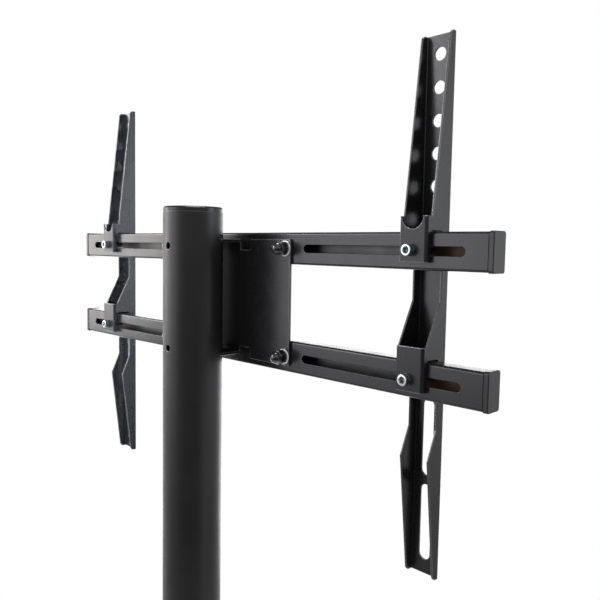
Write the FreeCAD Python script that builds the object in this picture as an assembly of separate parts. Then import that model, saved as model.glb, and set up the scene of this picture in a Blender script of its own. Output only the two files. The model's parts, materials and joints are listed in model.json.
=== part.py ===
import FreeCAD
import Part
import math
import os

# Floor stand with a screen mount: a round pole on a flat base carries two slotted rails,
# and two sheet-steel arms hang on the rails. Millimetres, Z up, floor at Z = 0,
# pole axis on the Z axis, screen side towards -Y.

# Heights and main spacing
RAIL_Z = 1300.0          # centre of the upper rail above the floor
RAIL_PITCH = 109.0       # upper rail centre to lower rail centre
RAIL_REAR = 45.0         # pole axis to the rear face of the rails

# Base
BASE_W = 600.0
BASE_D = 500.0
BASE_T = 10.0
BASE_CORNER_R = 40.0
BASE_EDGE_R = 2.0
FOOT_R = 18.0
FOOT_H = 8.0
FOOT_EDGE = 2.0
FOOT_INSET = 50.0        # base edge to foot centre
FOOT_PEG_R = 4.0
FOOT_PEG_COVER = 4.0     # base left above a peg

# Pole and its foot ring
POLE_R = 31.5
POLE_WALL = 2.0
POLE_OVER = 36.5         # tube top above the upper rail centre
RING_R = 70.0
RING_T = 8.0
RING_EDGE = 1.5
RING_BOLTS = 4
RING_BOLT_CIRCLE_R = 52.0
RING_BOLT_R = 5.0
RING_BOLT_HEAD_R = 8.0
RING_BOLT_HEAD_H = 10.0
RING_BOLT_KEY = 8.0
RING_BOLT_COVER = 2.0    # base left under a bolt
CAP_T = 5.0
CAP_BEVEL = 1.5
CAP_GROOVE = 0.6         # shadow line between cap and tube
CAP_PLUG_LEN = 14.0
CAP_PLUG_WALL = 2.0
CAP_DISH_R = 24.0
CAP_DISH = 1.2

# Bracket between pole and rails
BRACKET_T = 3.0
BRACKET_HALF_W = 104.5
BRACKET_OVER = 9.2       # plate edge beyond the rail centres
BRACKET_CORNER_R = 3.0
LIP_HALF_W = 28.0        # lips that reach round the pole
LIP_DROP = 6.0           # lower lip below the lower rail centre
RELIEF_W = 16.5
RELIEF_H = 11.5
BEND_IN = 1.0            # inside radius of every sheet bend
SADDLE_T = 3.0
SADDLE_HALF_W = 6.0
POLE_BOLT_RISES = (0.8, 3.7)  # upper and lower pole bolt above their rail centres
POLE_BOLT_R = 2.5
POLE_BOLT_HEAD_R = 4.25
POLE_BOLT_HEAD_H = 5.0
POLE_BOLT_KEY = 4.0
POLE_PAD = 14.0          # side of the square pad under the bolt head
POLE_PAD_T = 3.0
SADDLE_NUT_AF = 8.0
SADDLE_NUT_H = 2.7
KEY_HOLE_R = 3.5         # holes at the back of the pole for the hex key

# Rails
RAIL_LEN = 640.0
RAIL_H = 32.0
RAIL_D = 17.0
RAIL_WALL = 1.5
RAIL_CORNER_R = 2.5
SLOT_START = 15.5        # bracket edge to the inner end of a slot
SLOT_MARGIN = 20.0       # outer end of a slot to the end of the tube
SLOT_H = 8.0
RAIL_CAP_T = 5.0         # cap beyond the end of the tube, with its shadow line
RAIL_CAP_SEAM = 0.6      # shadow line between cap and tube
RAIL_CAP_PROUD = 0.6
RAIL_CAP_EDGE = 0.8
RAIL_CAP_PLUG = 18.0

# Rail bolts
RAIL_BOLT_EDGE = 7.0     # bolt centre to the side of the bracket
RAIL_BOLT_R = 4.0
DOME_HEAD_R = 8.0
DOME_HEAD_H = 4.0
WASHER_R = 8.0
WASHER_T = 1.6
SLEEVE_R = 6.0
ACORN_AF = 13.0
ACORN_HEX_H = 8.0
ACORN_H = 15.0
ACORN_DOME_R = 6.1
BOLT_BITE = 11.0         # rail bolt inside the acorn nut
BLIND_SPARE = 1.0        # free depth beyond a bolt's tip
BOLT_CLEAR = 0.2         # radial play of a bolt in a plain hole
HEAD_EDGE = 0.5          # rounding of a socket head
KEY_DEPTH = 0.6          # socket depth as a share of the head

# Arms
ARM_REST_LEFT = 47.0     # arm centres to the outer ends of the slots, as set
ARM_REST_RIGHT = 49.0
ARM_W = 30.0
ARM_T = 2.0
ARM_TOP = 182.5          # from the upper rail centre
ARM_BOTTOM = -288.5
ARM_PLAY = 0.3           # arm to the front face of a rail
HOOK_PLAY = 0.8          # upper hook above its rail
LOWER_HOOK_PLAY = 1.5    # lower hook above its rail
LEG_PLAY = 0.5           # hook leg to the rear face of a rail
DEPTH_TIP_TOP = 8.7      # flange depths from the screen face of the arm
DEPTH_TAPER = 27.0
DEPTH_HOOK = 29.8
DEPTH_NARROW = 11.0
DEPTH_BULGE = 22.5
DEPTH_TIP_BOTTOM = 9.2
HOOK_RISE = 29.0         # hook shoulder and tab top above a rail centre
WAIST_END = 66.0         # waist ends this far above the lower rail centre
BULGE_START = 44.0       # below the lower rail centre
BULGE_PEAK = 70.0
TIP_R = 5.0
NOTCH_R = 3.0
LEG_R = 2.0              # inner corner between a hook's seat and its leg
TAB_STANDOFF = 4.5       # rail rear face to the inner face of a tab
TAB_DROP = 9.5           # tab below the rail centre
TAB_GAP = 0.8            # tab edge to the far flange
TAB_NOTCH_R = 10.6
HOLE_R = 5.5             # screen holes
HOLE_COUNT = 6
HOLE_PITCH = 27.7
HOLE_EDGE = 16.1         # top hole to the top of the arm
SCREEN_SLOTS = 2
SCREEN_SLOT_LEN = 68.5
SCREEN_SLOT_STEP = 77.0
SCREEN_SLOT_EDGE = 13.0  # lowest slot end to the bottom of the arm

# Clamp screws
SCREW_SHIFT = 1.5        # screw axis from the arm centre
SCREW_RISE = 0.7         # screw axis above the rail centre
SCREW_R = 3.0
SCREW_HEAD_R = 5.0
SCREW_HEAD_H = 6.0
SCREW_KEY = 5.0
SCREW_OUT = 0.3          # gap between tab and screw head
SCREW_PLAY = 0.05        # radial running play in nut and tab
SCREW_TIP_PLAY = 0.2     # tip to the inner front wall of the rail
CLAMP_NUT_AF = 10.0
CLAMP_NUT_H = 4.0

# Derived positions
UPPER, LOWER = RAIL_Z, RAIL_Z - RAIL_PITCH
BASE_TOP = FOOT_H + BASE_T
POLE_TOP = RAIL_Z + POLE_OVER
POLE_IN_R = POLE_R - POLE_WALL
POLE_PAD_FACE = POLE_IN_R - POLE_PAD_T
FOOT_PEG_H = BASE_T - FOOT_PEG_COVER
RING_BOLT_BITE = BASE_T - RING_BOLT_COVER
RAIL_FRONT = RAIL_REAR + RAIL_D
RAIL_INNER_R = max(RAIL_CORNER_R - RAIL_WALL, 0.1)
RAIL_BOLT_X = BRACKET_HALF_W - RAIL_BOLT_EDGE
SLOT_IN = BRACKET_HALF_W + SLOT_START
SLOT_OUT = RAIL_LEN / 2 - SLOT_MARGIN
ARM_X = {"left": ARM_REST_LEFT - SLOT_OUT, "right": SLOT_OUT - ARM_REST_RIGHT}
WEB_Y = -(RAIL_FRONT + ARM_PLAY + DEPTH_NARROW)
TAB_Y = -(RAIL_REAR - TAB_STANDOFF)
PLATE_BACK = -(RAIL_REAR - BRACKET_T)
BRACKET_TOP = UPPER + BRACKET_OVER
BRACKET_BOTTOM = LOWER - BRACKET_OVER
LIP_BOTTOM = LOWER - LIP_DROP
RAILS = (("upper", UPPER), ("lower", LOWER))
SIDES = (("left", -1), ("right", 1))


def vec(x, y, z):
    return FreeCAD.Vector(x, y, z)


def box(x0, x1, y0, y1, z0, z1):
    return Part.makeBox(x1 - x0, y1 - y0, z1 - z0, vec(x0, y0, z0))


def rod(radius, length, x, y, z, direction):
    return Part.makeCylinder(radius, length, vec(x, y, z), vec(*direction))


def rounded_face(points, radii):
    """Flat face with straight sides and round corners; one radius per point."""
    edges = []
    starts = []
    ends = []
    count = len(points)
    for i in range(count):
        corner = points[i]
        to_prev = (points[i - 1] - corner).normalize()
        to_next = (points[(i + 1) % count] - corner).normalize()
        half = to_prev.getAngle(to_next) / 2
        reach = radii[i] / math.tan(half)
        starts.append(corner + to_prev * reach)
        ends.append(corner + to_next * reach)
        if radii[i] > 0:
            inward = (to_prev + to_next).normalize()
            middle = corner + inward * (radii[i] / math.sin(half) - radii[i])
            edges.append(Part.Arc(starts[i], middle, ends[i]).toShape())
    for i in range(count):
        start, end = ends[i], starts[(i + 1) % count]
        if start.distanceToPoint(end) > 1e-6:
            edges.append(Part.makeLine(start, end))
    wire = Part.Wire(Part.__sortEdges__(edges))
    return Part.Face(wire)


def rounded_block(width, height, radius, plane_point, axis, length):
    """Block with rounded long edges: the section is width by height, pushed along X, Y or Z."""
    a, b = width / 2, height / 2
    corners = ((-a, -b), (a, -b), (a, b), (-a, b))
    if axis == "X":
        points = [plane_point + vec(0, u, v) for u, v in corners]
        push = vec(length, 0, 0)
    elif axis == "Y":
        points = [plane_point + vec(u, 0, v) for u, v in corners]
        push = vec(0, length, 0)
    else:
        points = [plane_point + vec(u, v, 0) for u, v in corners]
        push = vec(0, 0, length)
    return rounded_face(points, [radius] * 4).extrude(push)


def hex_prism(across, length, x, y, z, direction):
    """Hexagonal prism along Y or Z, two of its corners pointing along X."""
    corner_r = across / math.sqrt(3)
    points = []
    for i in range(6):
        u = corner_r * math.cos(math.radians(60 * i))
        v = corner_r * math.sin(math.radians(60 * i))
        points.append(vec(x + u, y + v, z) if direction[2] else vec(x + u, y, z + v))
    return rounded_face(points, [0] * 6).extrude(vec(*direction) * length)


def edges_where(shape, test):
    return [edge for edge in shape.Edges if test(edge.BoundBox)]


def slot_block(x0, x1, z, height, y0, y1):
    """Round-ended slot along X, cut through from y0 to y1."""
    middle = vec((x0 + x1) / 2, y0, z)
    return rounded_block(x1 - x0, height, height / 2, middle, "Y", y1 - y0)


def foot(x, y):
    pad = rod(FOOT_R, FOOT_H, x, y, 0, (0, 0, 1))
    pad = pad.makeChamfer(FOOT_EDGE, edges_where(pad, lambda b: b.ZMax < 1e-6 and b.XLength > FOOT_R))
    peg = rod(FOOT_PEG_R, FOOT_PEG_H, x, y, FOOT_H, (0, 0, 1))
    return pad.fuse(peg).removeSplitter()


def foot_places():
    a, b = BASE_W / 2 - FOOT_INSET, BASE_D / 2 - FOOT_INSET
    return ((-a, -b), (a, -b), (a, b), (-a, b))


def ring_bolt_places():
    places = []
    for i in range(RING_BOLTS):
        turn = math.radians(360 / RING_BOLTS * (i + 0.5))
        places.append((RING_BOLT_CIRCLE_R * math.cos(turn), RING_BOLT_CIRCLE_R * math.sin(turn)))
    return places


def base_plate():
    plate = rounded_block(BASE_W, BASE_D, BASE_CORNER_R, vec(0, 0, FOOT_H), "Z", BASE_T)
    plate = plate.makeFillet(BASE_EDGE_R, edges_where(plate, lambda b: b.ZMin > BASE_TOP - 1e-6))
    for x, y in foot_places():
        plate = plate.cut(rod(FOOT_PEG_R, FOOT_PEG_H, x, y, FOOT_H, (0, 0, 1)))
    for x, y in ring_bolt_places():
        depth = RING_BOLT_BITE
        plate = plate.cut(rod(RING_BOLT_R, depth, x, y, BASE_TOP - depth, (0, 0, 1)))
    return plate


def pole_ring():
    ring = rod(RING_R, RING_T, 0, 0, BASE_TOP, (0, 0, 1))
    top = BASE_TOP + RING_T
    ring = ring.makeChamfer(RING_EDGE, edges_where(ring, lambda b: b.ZMin > top - 1e-6))
    ring = ring.cut(rod(POLE_R, RING_T, 0, 0, BASE_TOP, (0, 0, 1)))
    for x, y in ring_bolt_places():
        ring = ring.cut(rod(RING_BOLT_R + BOLT_CLEAR, RING_T, x, y, BASE_TOP, (0, 0, 1)))
    return ring


def socket_bolt(radius, length, head_r, head_h, across):
    """Socket-head bolt standing on its head plane at Z = 0, shank downwards, head upwards."""
    shank = rod(radius, length, 0, 0, -length, (0, 0, 1))
    head = rod(head_r, head_h, 0, 0, 0, (0, 0, 1))
    rim = edges_where(head, lambda b: b.ZMin > head_h - 1e-6)
    head = head.makeFillet(HEAD_EDGE, rim)
    bolt = shank.fuse(head).removeSplitter()
    depth = KEY_DEPTH * head_h
    return bolt.cut(hex_prism(across, depth, 0, 0, head_h - depth, (0, 0, 1)))


def ring_bolt(x, y):
    length = RING_T + RING_BOLT_BITE
    bolt = socket_bolt(RING_BOLT_R, length, RING_BOLT_HEAD_R, RING_BOLT_HEAD_H, RING_BOLT_KEY)
    bolt.translate(vec(x, y, BASE_TOP + RING_T))
    return bolt


def pole_bolt_heights():
    return tuple(z + rise for (_, z), rise in zip(RAILS, POLE_BOLT_RISES))


def pole_tube():
    length = POLE_TOP - BASE_TOP
    tube = rod(POLE_R, length, 0, 0, BASE_TOP, (0, 0, 1))
    tube = tube.cut(rod(POLE_IN_R, length, 0, 0, BASE_TOP, (0, 0, 1)))
    for z in pole_bolt_heights():
        tube = tube.cut(rod(POLE_BOLT_R + BOLT_CLEAR, POLE_R, 0, 0, z, (0, -1, 0)))
        tube = tube.cut(rod(KEY_HOLE_R, POLE_R, 0, 0, z, (0, 1, 0)))
    return tube


def pole_top_cap():
    top = POLE_TOP + CAP_T
    lid = rod(POLE_R, CAP_T, 0, 0, POLE_TOP, (0, 0, 1))
    lid = lid.makeChamfer(CAP_BEVEL, edges_where(lid, lambda b: b.ZMin > top - 1e-6))
    dish = Part.makeCone(CAP_DISH_R - CAP_DISH, CAP_DISH_R, CAP_DISH, vec(0, 0, top - CAP_DISH))
    groove = rod(POLE_R, CAP_GROOVE, 0, 0, POLE_TOP, (0, 0, 1))
    groove = groove.cut(rod(POLE_R - CAP_GROOVE, CAP_GROOVE, 0, 0, POLE_TOP, (0, 0, 1)))
    plug = rod(POLE_IN_R, CAP_PLUG_LEN, 0, 0, POLE_TOP - CAP_PLUG_LEN, (0, 0, 1))
    hollow_r = POLE_IN_R - CAP_PLUG_WALL
    plug = plug.cut(rod(hollow_r, CAP_PLUG_LEN, 0, 0, POLE_TOP - CAP_PLUG_LEN, (0, 0, 1)))
    return lid.cut(dish).cut(groove).fuse(plug).removeSplitter()


def bracket_channel():
    """Middle of the bracket: the plate with a lip bent back at top and bottom."""
    t = BRACKET_T
    outer = box(-LIP_HALF_W, LIP_HALF_W, -RAIL_REAR, 0, LIP_BOTTOM, BRACKET_TOP)
    front = -RAIL_REAR + 1e-6
    outer = outer.makeFillet(BEND_IN + t, edges_where(outer, lambda b: b.YMax < front and b.ZLength < 1e-6))
    inner = box(-LIP_HALF_W, LIP_HALF_W, PLATE_BACK, 0, LIP_BOTTOM + t, BRACKET_TOP - t)
    back = PLATE_BACK + 1e-6
    inner = inner.makeFillet(BEND_IN, edges_where(inner, lambda b: b.YMax < back and b.ZLength < 1e-6))
    return outer.cut(inner)


def bracket_wing(side):
    inner, outer = LIP_HALF_W, BRACKET_HALF_W
    corner, relief, drop = BRACKET_CORNER_R, LIP_HALF_W + RELIEF_W, RELIEF_H
    low, high = BRACKET_BOTTOM, BRACKET_TOP
    outline = ((inner, low + drop), (relief, low + drop), (relief, low), (outer, low),
               (outer, high), (relief, high), (relief, high - drop), (inner, high - drop))
    radii = [0, corner, 0, corner, corner, 0, corner, 0]
    points = [vec(side * x, PLATE_BACK, z) for x, z in outline]
    return rounded_face(points, radii).extrude(vec(0, -BRACKET_T, 0))


def mount_bracket():
    shape = bracket_channel()
    for _, side in SIDES:
        shape = shape.fuse(bracket_wing(side))
    shape = shape.removeSplitter()
    height = BRACKET_TOP - BRACKET_BOTTOM
    shape = shape.cut(rod(POLE_R, height, 0, 0, BRACKET_BOTTOM, (0, 0, 1)))
    for _, z in RAILS:
        for _, side in SIDES:
            hole = rod(RAIL_BOLT_R + BOLT_CLEAR, RAIL_REAR, side * RAIL_BOLT_X, 0, z, (0, -1, 0))
            shape = shape.cut(hole)
    return shape


def pole_saddle():
    low, high = LIP_BOTTOM + BRACKET_T, BRACKET_TOP - BRACKET_T
    shell = rod(POLE_R + SADDLE_T, high - low, 0, 0, low, (0, 0, 1))
    shell = shell.cut(rod(POLE_R, high - low, 0, 0, low, (0, 0, 1)))
    shell = shell.common(box(-SADDLE_HALF_W, SADDLE_HALF_W, -2 * POLE_R, 0, low, high))
    for z in pole_bolt_heights():
        shell = shell.cut(rod(POLE_BOLT_R + BOLT_CLEAR, 2 * POLE_R, 0, 0, z, (0, -1, 0)))
    return shell


def pole_bolt(z):
    reach = POLE_R + SADDLE_T + SADDLE_NUT_H - POLE_PAD_FACE + BLIND_SPARE
    bolt = socket_bolt(POLE_BOLT_R, reach, POLE_BOLT_HEAD_R, POLE_BOLT_HEAD_H, POLE_BOLT_KEY)
    bolt.rotate(vec(0, 0, 0), vec(1, 0, 0), -90)
    bolt.translate(vec(0, -POLE_PAD_FACE, z))
    return bolt


def pole_pad(z):
    """Half-moon pad: flat under the bolt head, round against the inside of the tube."""
    half = POLE_PAD / 2
    block = box(-half, half, -POLE_R, -POLE_PAD_FACE, z - half, z + half)
    block = block.common(rod(POLE_IN_R, POLE_PAD, 0, 0, z - half, (0, 0, 1)))
    return block.cut(rod(POLE_BOLT_R + BOLT_CLEAR, POLE_R, 0, 0, z, (0, -1, 0)))


def saddle_nut(z):
    face = POLE_R + SADDLE_T
    across = SADDLE_NUT_AF
    nut = hex_prism(across, SADDLE_NUT_H + SADDLE_T, 0, -(face - SADDLE_T), z, (0, -1, 0))
    nut = nut.cut(rod(face, 2 * across, 0, 0, z - across, (0, 0, 1)))
    return nut.cut(rod(POLE_BOLT_R, 2 * POLE_R, 0, 0, z, (0, -1, 0)))


def rail(z):
    start = vec(-RAIL_LEN / 2, -(RAIL_REAR + RAIL_D / 2), z)
    wall = RAIL_WALL
    tube = rounded_block(RAIL_D, RAIL_H, RAIL_CORNER_R, start, "X", RAIL_LEN)
    inner = rounded_block(RAIL_D - 2 * wall, RAIL_H - 2 * wall, RAIL_INNER_R, start, "X", RAIL_LEN)
    tube = tube.cut(inner)
    for _, side in SIDES:
        ends = sorted((side * SLOT_IN, side * SLOT_OUT))
        middle = -(RAIL_REAR + RAIL_D / 2)
        tube = tube.cut(slot_block(ends[0], ends[1], z, SLOT_H, middle, -RAIL_REAR))
        tube = tube.cut(rod(RAIL_BOLT_R + BOLT_CLEAR, RAIL_FRONT, side * RAIL_BOLT_X, 0, z, (0, -1, 0)))
    return tube


def rail_cap(z, side):
    start = RAIL_LEN / 2 + RAIL_CAP_SEAM
    middle = vec(side * start, -(RAIL_REAR + RAIL_D / 2), z)
    grow, wall, thick = 2 * RAIL_CAP_PROUD, RAIL_WALL, RAIL_CAP_T - RAIL_CAP_SEAM
    plate = rounded_block(RAIL_D + grow, RAIL_H + grow, RAIL_CORNER_R, middle, "X", side * thick)
    outer = start + thick - 1e-6
    plate = plate.makeFillet(RAIL_CAP_EDGE, edges_where(plate, lambda b: min(abs(b.XMin), abs(b.XMax)) > outer))
    depth, height = RAIL_D - 2 * wall, RAIL_H - 2 * wall
    plug = rounded_block(depth, height, RAIL_INNER_R, middle, "X", -side * RAIL_CAP_PLUG)
    hollow = rounded_block(depth - 2 * wall, height - 2 * wall, wall / 2, middle, "X", -side * RAIL_CAP_PLUG)
    return plate.fuse(plug.cut(hollow)).removeSplitter()


def rail_bolt(x, z):
    """Domed bolt: head on the front of the rail, tip inside the acorn nut."""
    tip = PLATE_BACK + WASHER_T + BOLT_BITE
    shank = rod(RAIL_BOLT_R, tip + RAIL_FRONT, x, -RAIL_FRONT, z, (0, 1, 0))
    head = rod(DOME_HEAD_R, DOME_HEAD_H, x, -RAIL_FRONT, z, (0, -1, 0))
    far = -(RAIL_FRONT + DOME_HEAD_H) + 1e-6
    head = head.makeFillet(0.75 * DOME_HEAD_H, edges_where(head, lambda b: b.YMax < far))
    return shank.fuse(head).removeSplitter()


def rail_sleeve(x, z):
    """Spacer inside the rail, so that the bolt can't crush the tube."""
    start, length = -(RAIL_FRONT - RAIL_WALL), RAIL_D - 2 * RAIL_WALL
    sleeve = rod(SLEEVE_R, length, x, start, z, (0, 1, 0))
    return sleeve.cut(rod(RAIL_BOLT_R + BOLT_CLEAR, length, x, start, z, (0, 1, 0)))


def rail_washer(x, z):
    washer = rod(WASHER_R, WASHER_T, x, PLATE_BACK, z, (0, 1, 0))
    return washer.cut(rod(RAIL_BOLT_R + BOLT_CLEAR, WASHER_T, x, PLATE_BACK, z, (0, 1, 0)))


def acorn_nut(x, z):
    seat = PLATE_BACK + WASHER_T
    body = hex_prism(ACORN_AF, ACORN_HEX_H, x, seat, z, (0, 1, 0))
    half = ACORN_AF / 2
    slope = Part.makeCone(half + ACORN_HEX_H, half, ACORN_HEX_H, vec(x, seat, z), vec(0, 1, 0))
    body = body.common(slope)
    straight = ACORN_H - ACORN_DOME_R
    dome = rod(ACORN_DOME_R, straight, x, seat, z, (0, 1, 0))
    dome = dome.fuse(Part.makeSphere(ACORN_DOME_R, vec(x, seat + straight, z)))
    nut = body.fuse(dome).removeSplitter()
    return nut.cut(rod(RAIL_BOLT_R, BOLT_BITE + BLIND_SPARE, x, seat, z, (0, 1, 0)))


def arm_channel(x):
    """Plain U channel of the arm, open towards the rear, before its outline is cut."""
    half, deep = ARM_W / 2, DEPTH_HOOK
    low, high = RAIL_Z + ARM_BOTTOM, RAIL_Z + ARM_TOP
    outer = box(x - half, x + half, WEB_Y, WEB_Y + deep, low, high)
    front = WEB_Y + 1e-6
    outer = outer.makeFillet(BEND_IN + ARM_T, edges_where(outer, lambda b: b.YMax < front and b.XLength < 1e-6))
    inside = WEB_Y + ARM_T
    inner = box(x - half + ARM_T, x + half - ARM_T, inside, WEB_Y + deep, low, high)
    back = inside + 1e-6
    inner = inner.makeFillet(BEND_IN, edges_where(inner, lambda b: b.YMax < back and b.XLength < 1e-6))
    return outer.cut(inner)


def arm_outline(x):
    """Side outline of both flanges: long upper taper, two rail notches, waist and lower taper."""
    u_seat = RAIL_H / 2 + HOOK_PLAY
    l_seat = RAIL_H / 2 + LOWER_HOOK_PLAY - RAIL_PITCH
    shoulder = HOOK_RISE - RAIL_PITCH
    steps = (
        (0, ARM_TOP, 0),
        (DEPTH_TIP_TOP, ARM_TOP, TIP_R),
        (DEPTH_TAPER, HOOK_RISE, 0),
        (DEPTH_HOOK, HOOK_RISE, 0),
        (DEPTH_HOOK, u_seat, 0),
        (DEPTH_NARROW, u_seat, NOTCH_R),
        (DEPTH_NARROW, WAIST_END - RAIL_PITCH, NOTCH_R),
        (DEPTH_HOOK, shoulder, 0),
        (DEPTH_HOOK, l_seat, 0),
        (DEPTH_NARROW, l_seat, NOTCH_R),
        (DEPTH_NARROW, -BULGE_START - RAIL_PITCH, NOTCH_R),
        (DEPTH_BULGE, -BULGE_PEAK - RAIL_PITCH, NOTCH_R),
        (DEPTH_TIP_BOTTOM, ARM_BOTTOM, TIP_R),
        (0, ARM_BOTTOM, 0),
    )
    points = [vec(x - ARM_W / 2, WEB_Y + d, RAIL_Z + z) for d, z, _ in steps]
    return rounded_face(points, [r for _, _, r in steps]).extrude(vec(ARM_W, 0, 0))


def arm_tab(x, rail_z, play):
    """Hook leg of the -X flange with the tab bent from it behind the rail."""
    t = ARM_T
    low, high = rail_z - TAB_DROP, rail_z + HOOK_RISE
    leg, free = x - ARM_W / 2, x + ARM_W / 2 - ARM_T - TAB_GAP
    start, back = WEB_Y + DEPTH_NARROW, TAB_Y + t
    section = [vec(leg, start, low), vec(leg, back, low), vec(free, back, low),
               vec(free, back - t, low), vec(leg + t, back - t, low), vec(leg + t, start, low)]
    tab = rounded_face(section, [0, BEND_IN + t, 0, 0, BEND_IN, 0]).extrude(vec(0, 0, high - low))
    leg_y = -(RAIL_REAR - LEG_PLAY)
    seat = rail_z + RAIL_H / 2 + play
    notch = [vec(leg, start, low), vec(leg, leg_y, low), vec(leg, leg_y, seat), vec(leg, start, seat)]
    tab = tab.cut(rounded_face(notch, [0, 0, LEG_R, 0]).extrude(vec(t, 0, 0)))
    z = rail_z + SCREW_RISE
    return tab.cut(rod(SCREW_R + SCREW_PLAY, 2 * t, x + SCREW_SHIFT, back, z, (0, -1, 0)))


def arm(x):
    shape = arm_channel(x).common(arm_outline(x))
    for z, play in ((UPPER, HOOK_PLAY), (LOWER, LOWER_HOOK_PLAY)):
        shape = shape.fuse(arm_tab(x, z, play))
    shape = shape.removeSplitter()
    shape = shape.cut(rod(TAB_NOTCH_R, 2 * ARM_T, x, TAB_Y + ARM_T, UPPER + HOOK_RISE, (0, -1, 0)))
    for i in range(HOLE_COUNT):
        z = RAIL_Z + ARM_TOP - HOLE_EDGE - i * HOLE_PITCH
        shape = shape.cut(rod(HOLE_R, ARM_T, x, WEB_Y, z, (0, 1, 0)))
    for i in range(SCREEN_SLOTS):
        z = RAIL_Z + ARM_BOTTOM + SCREEN_SLOT_EDGE + SCREEN_SLOT_LEN / 2 + i * SCREEN_SLOT_STEP
        slot = rounded_block(2 * HOLE_R, SCREEN_SLOT_LEN, HOLE_R, vec(x, WEB_Y, z), "Y", ARM_T)
        shape = shape.cut(slot)
    return shape


def clamp_nut(x, z):
    """Nut welded to the inner face of a tab."""
    place = (x + SCREW_SHIFT, TAB_Y, z + SCREW_RISE)
    nut = hex_prism(CLAMP_NUT_AF, CLAMP_NUT_H, *place, (0, -1, 0))
    return nut.cut(rod(SCREW_R + SCREW_PLAY, CLAMP_NUT_H, *place, (0, -1, 0)))


def clamp_screw(x, z):
    under_head = TAB_Y + ARM_T + SCREW_OUT
    tip = -(RAIL_FRONT - RAIL_WALL - SCREW_TIP_PLAY)
    screw = socket_bolt(SCREW_R, under_head - tip, SCREW_HEAD_R, SCREW_HEAD_H, SCREW_KEY)
    screw.rotate(vec(0, 0, 0), vec(1, 0, 0), -90)
    screw.translate(vec(x + SCREW_SHIFT, under_head, z + SCREW_RISE))
    return screw


def all_parts():
    parts = {"base_plate": base_plate(), "pole_ring": pole_ring(), "pole_tube": pole_tube(),
             "pole_top_cap": pole_top_cap(), "mount_bracket": mount_bracket(), "pole_saddle": pole_saddle()}
    for i, (x, y) in enumerate(foot_places(), 1):
        parts[f"foot_{i}"] = foot(x, y)
    for i, (x, y) in enumerate(ring_bolt_places(), 1):
        parts[f"ring_bolt_{i}"] = ring_bolt(x, y)
    for level, z in zip(("upper", "lower"), pole_bolt_heights()):
        parts[f"pole_bolt_{level}"] = pole_bolt(z)
        parts[f"pole_pad_{level}"] = pole_pad(z)
        parts[f"saddle_nut_{level}"] = saddle_nut(z)
    for level, z in RAILS:
        parts[f"{level}_rail"] = rail(z)
        for name, side in SIDES:
            key = f"{level}_{name}"
            parts[f"rail_cap_{key}"] = rail_cap(z, side)
            parts[f"rail_bolt_{key}"] = rail_bolt(side * RAIL_BOLT_X, z)
            parts[f"rail_sleeve_{key}"] = rail_sleeve(side * RAIL_BOLT_X, z)
            parts[f"rail_washer_{key}"] = rail_washer(side * RAIL_BOLT_X, z)
            parts[f"acorn_nut_{key}"] = acorn_nut(side * RAIL_BOLT_X, z)
            parts[f"clamp_nut_{key}"] = clamp_nut(ARM_X[name], z)
            parts[f"clamp_screw_{key}"] = clamp_screw(ARM_X[name], z)
    for name, x in ARM_X.items():
        parts[f"arm_{name}"] = arm(x)
    return parts


os.makedirs("parts", exist_ok=True)
for node, shape in all_parts().items():
    solids = shape.Solids
    assert len(solids) == 1 and shape.isValid(), node
    solids[0].exportStep(f"parts/{node}.step")
    print(node, round(solids[0].Volume, 1))
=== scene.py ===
# %% [markdown]
# # Floor stand for a flat screen
# A round pole on a flat base carries two slotted rails. Two hooked arms of bent sheet steel hang on the
# rails and take the screws of the screen. Everything is black except the small zinc-plated screws and
# washers. The first step brings in the finished solids. They are in metres, with Z up and the pole on the
# Z axis, so every piece made below goes straight to its real place.

# %% Load the stand
import json
import math

import bmesh
import bpy
from mathutils import Matrix, Quaternion, Vector


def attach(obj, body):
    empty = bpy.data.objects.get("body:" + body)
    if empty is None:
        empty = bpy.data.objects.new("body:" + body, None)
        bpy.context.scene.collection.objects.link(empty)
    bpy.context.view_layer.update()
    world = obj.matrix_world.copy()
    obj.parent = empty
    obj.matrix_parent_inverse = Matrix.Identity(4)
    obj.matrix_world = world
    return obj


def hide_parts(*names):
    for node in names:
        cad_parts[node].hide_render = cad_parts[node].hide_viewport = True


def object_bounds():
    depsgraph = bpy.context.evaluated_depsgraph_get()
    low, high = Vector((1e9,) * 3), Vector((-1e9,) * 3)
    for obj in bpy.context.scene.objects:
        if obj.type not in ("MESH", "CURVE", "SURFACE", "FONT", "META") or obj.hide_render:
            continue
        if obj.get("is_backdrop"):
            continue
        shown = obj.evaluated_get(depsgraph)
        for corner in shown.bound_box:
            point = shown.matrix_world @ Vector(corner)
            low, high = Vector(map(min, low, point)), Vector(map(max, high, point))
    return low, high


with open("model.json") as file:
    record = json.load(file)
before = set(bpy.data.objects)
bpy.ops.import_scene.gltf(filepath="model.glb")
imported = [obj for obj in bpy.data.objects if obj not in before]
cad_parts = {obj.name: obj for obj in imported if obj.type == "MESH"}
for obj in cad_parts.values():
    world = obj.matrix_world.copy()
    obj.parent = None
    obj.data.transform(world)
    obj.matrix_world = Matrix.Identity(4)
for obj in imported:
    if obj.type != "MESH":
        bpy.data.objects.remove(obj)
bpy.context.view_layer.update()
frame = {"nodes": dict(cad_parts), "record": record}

MM = 0.001
solids = frame["nodes"]
scene = bpy.context.scene
scene.view_settings.view_transform = "Standard"

# %% [markdown]
# ## Camera
# The picture looks at the back of the mount from a little outside its left arm, almost level. The place
# and the three angles below put the rails, arms and pole where a photographer standing there would see
# them. A camera can be turned with rotation angles, but writing its three axes into a matrix keeps the
# small roll easy to read.

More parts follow.
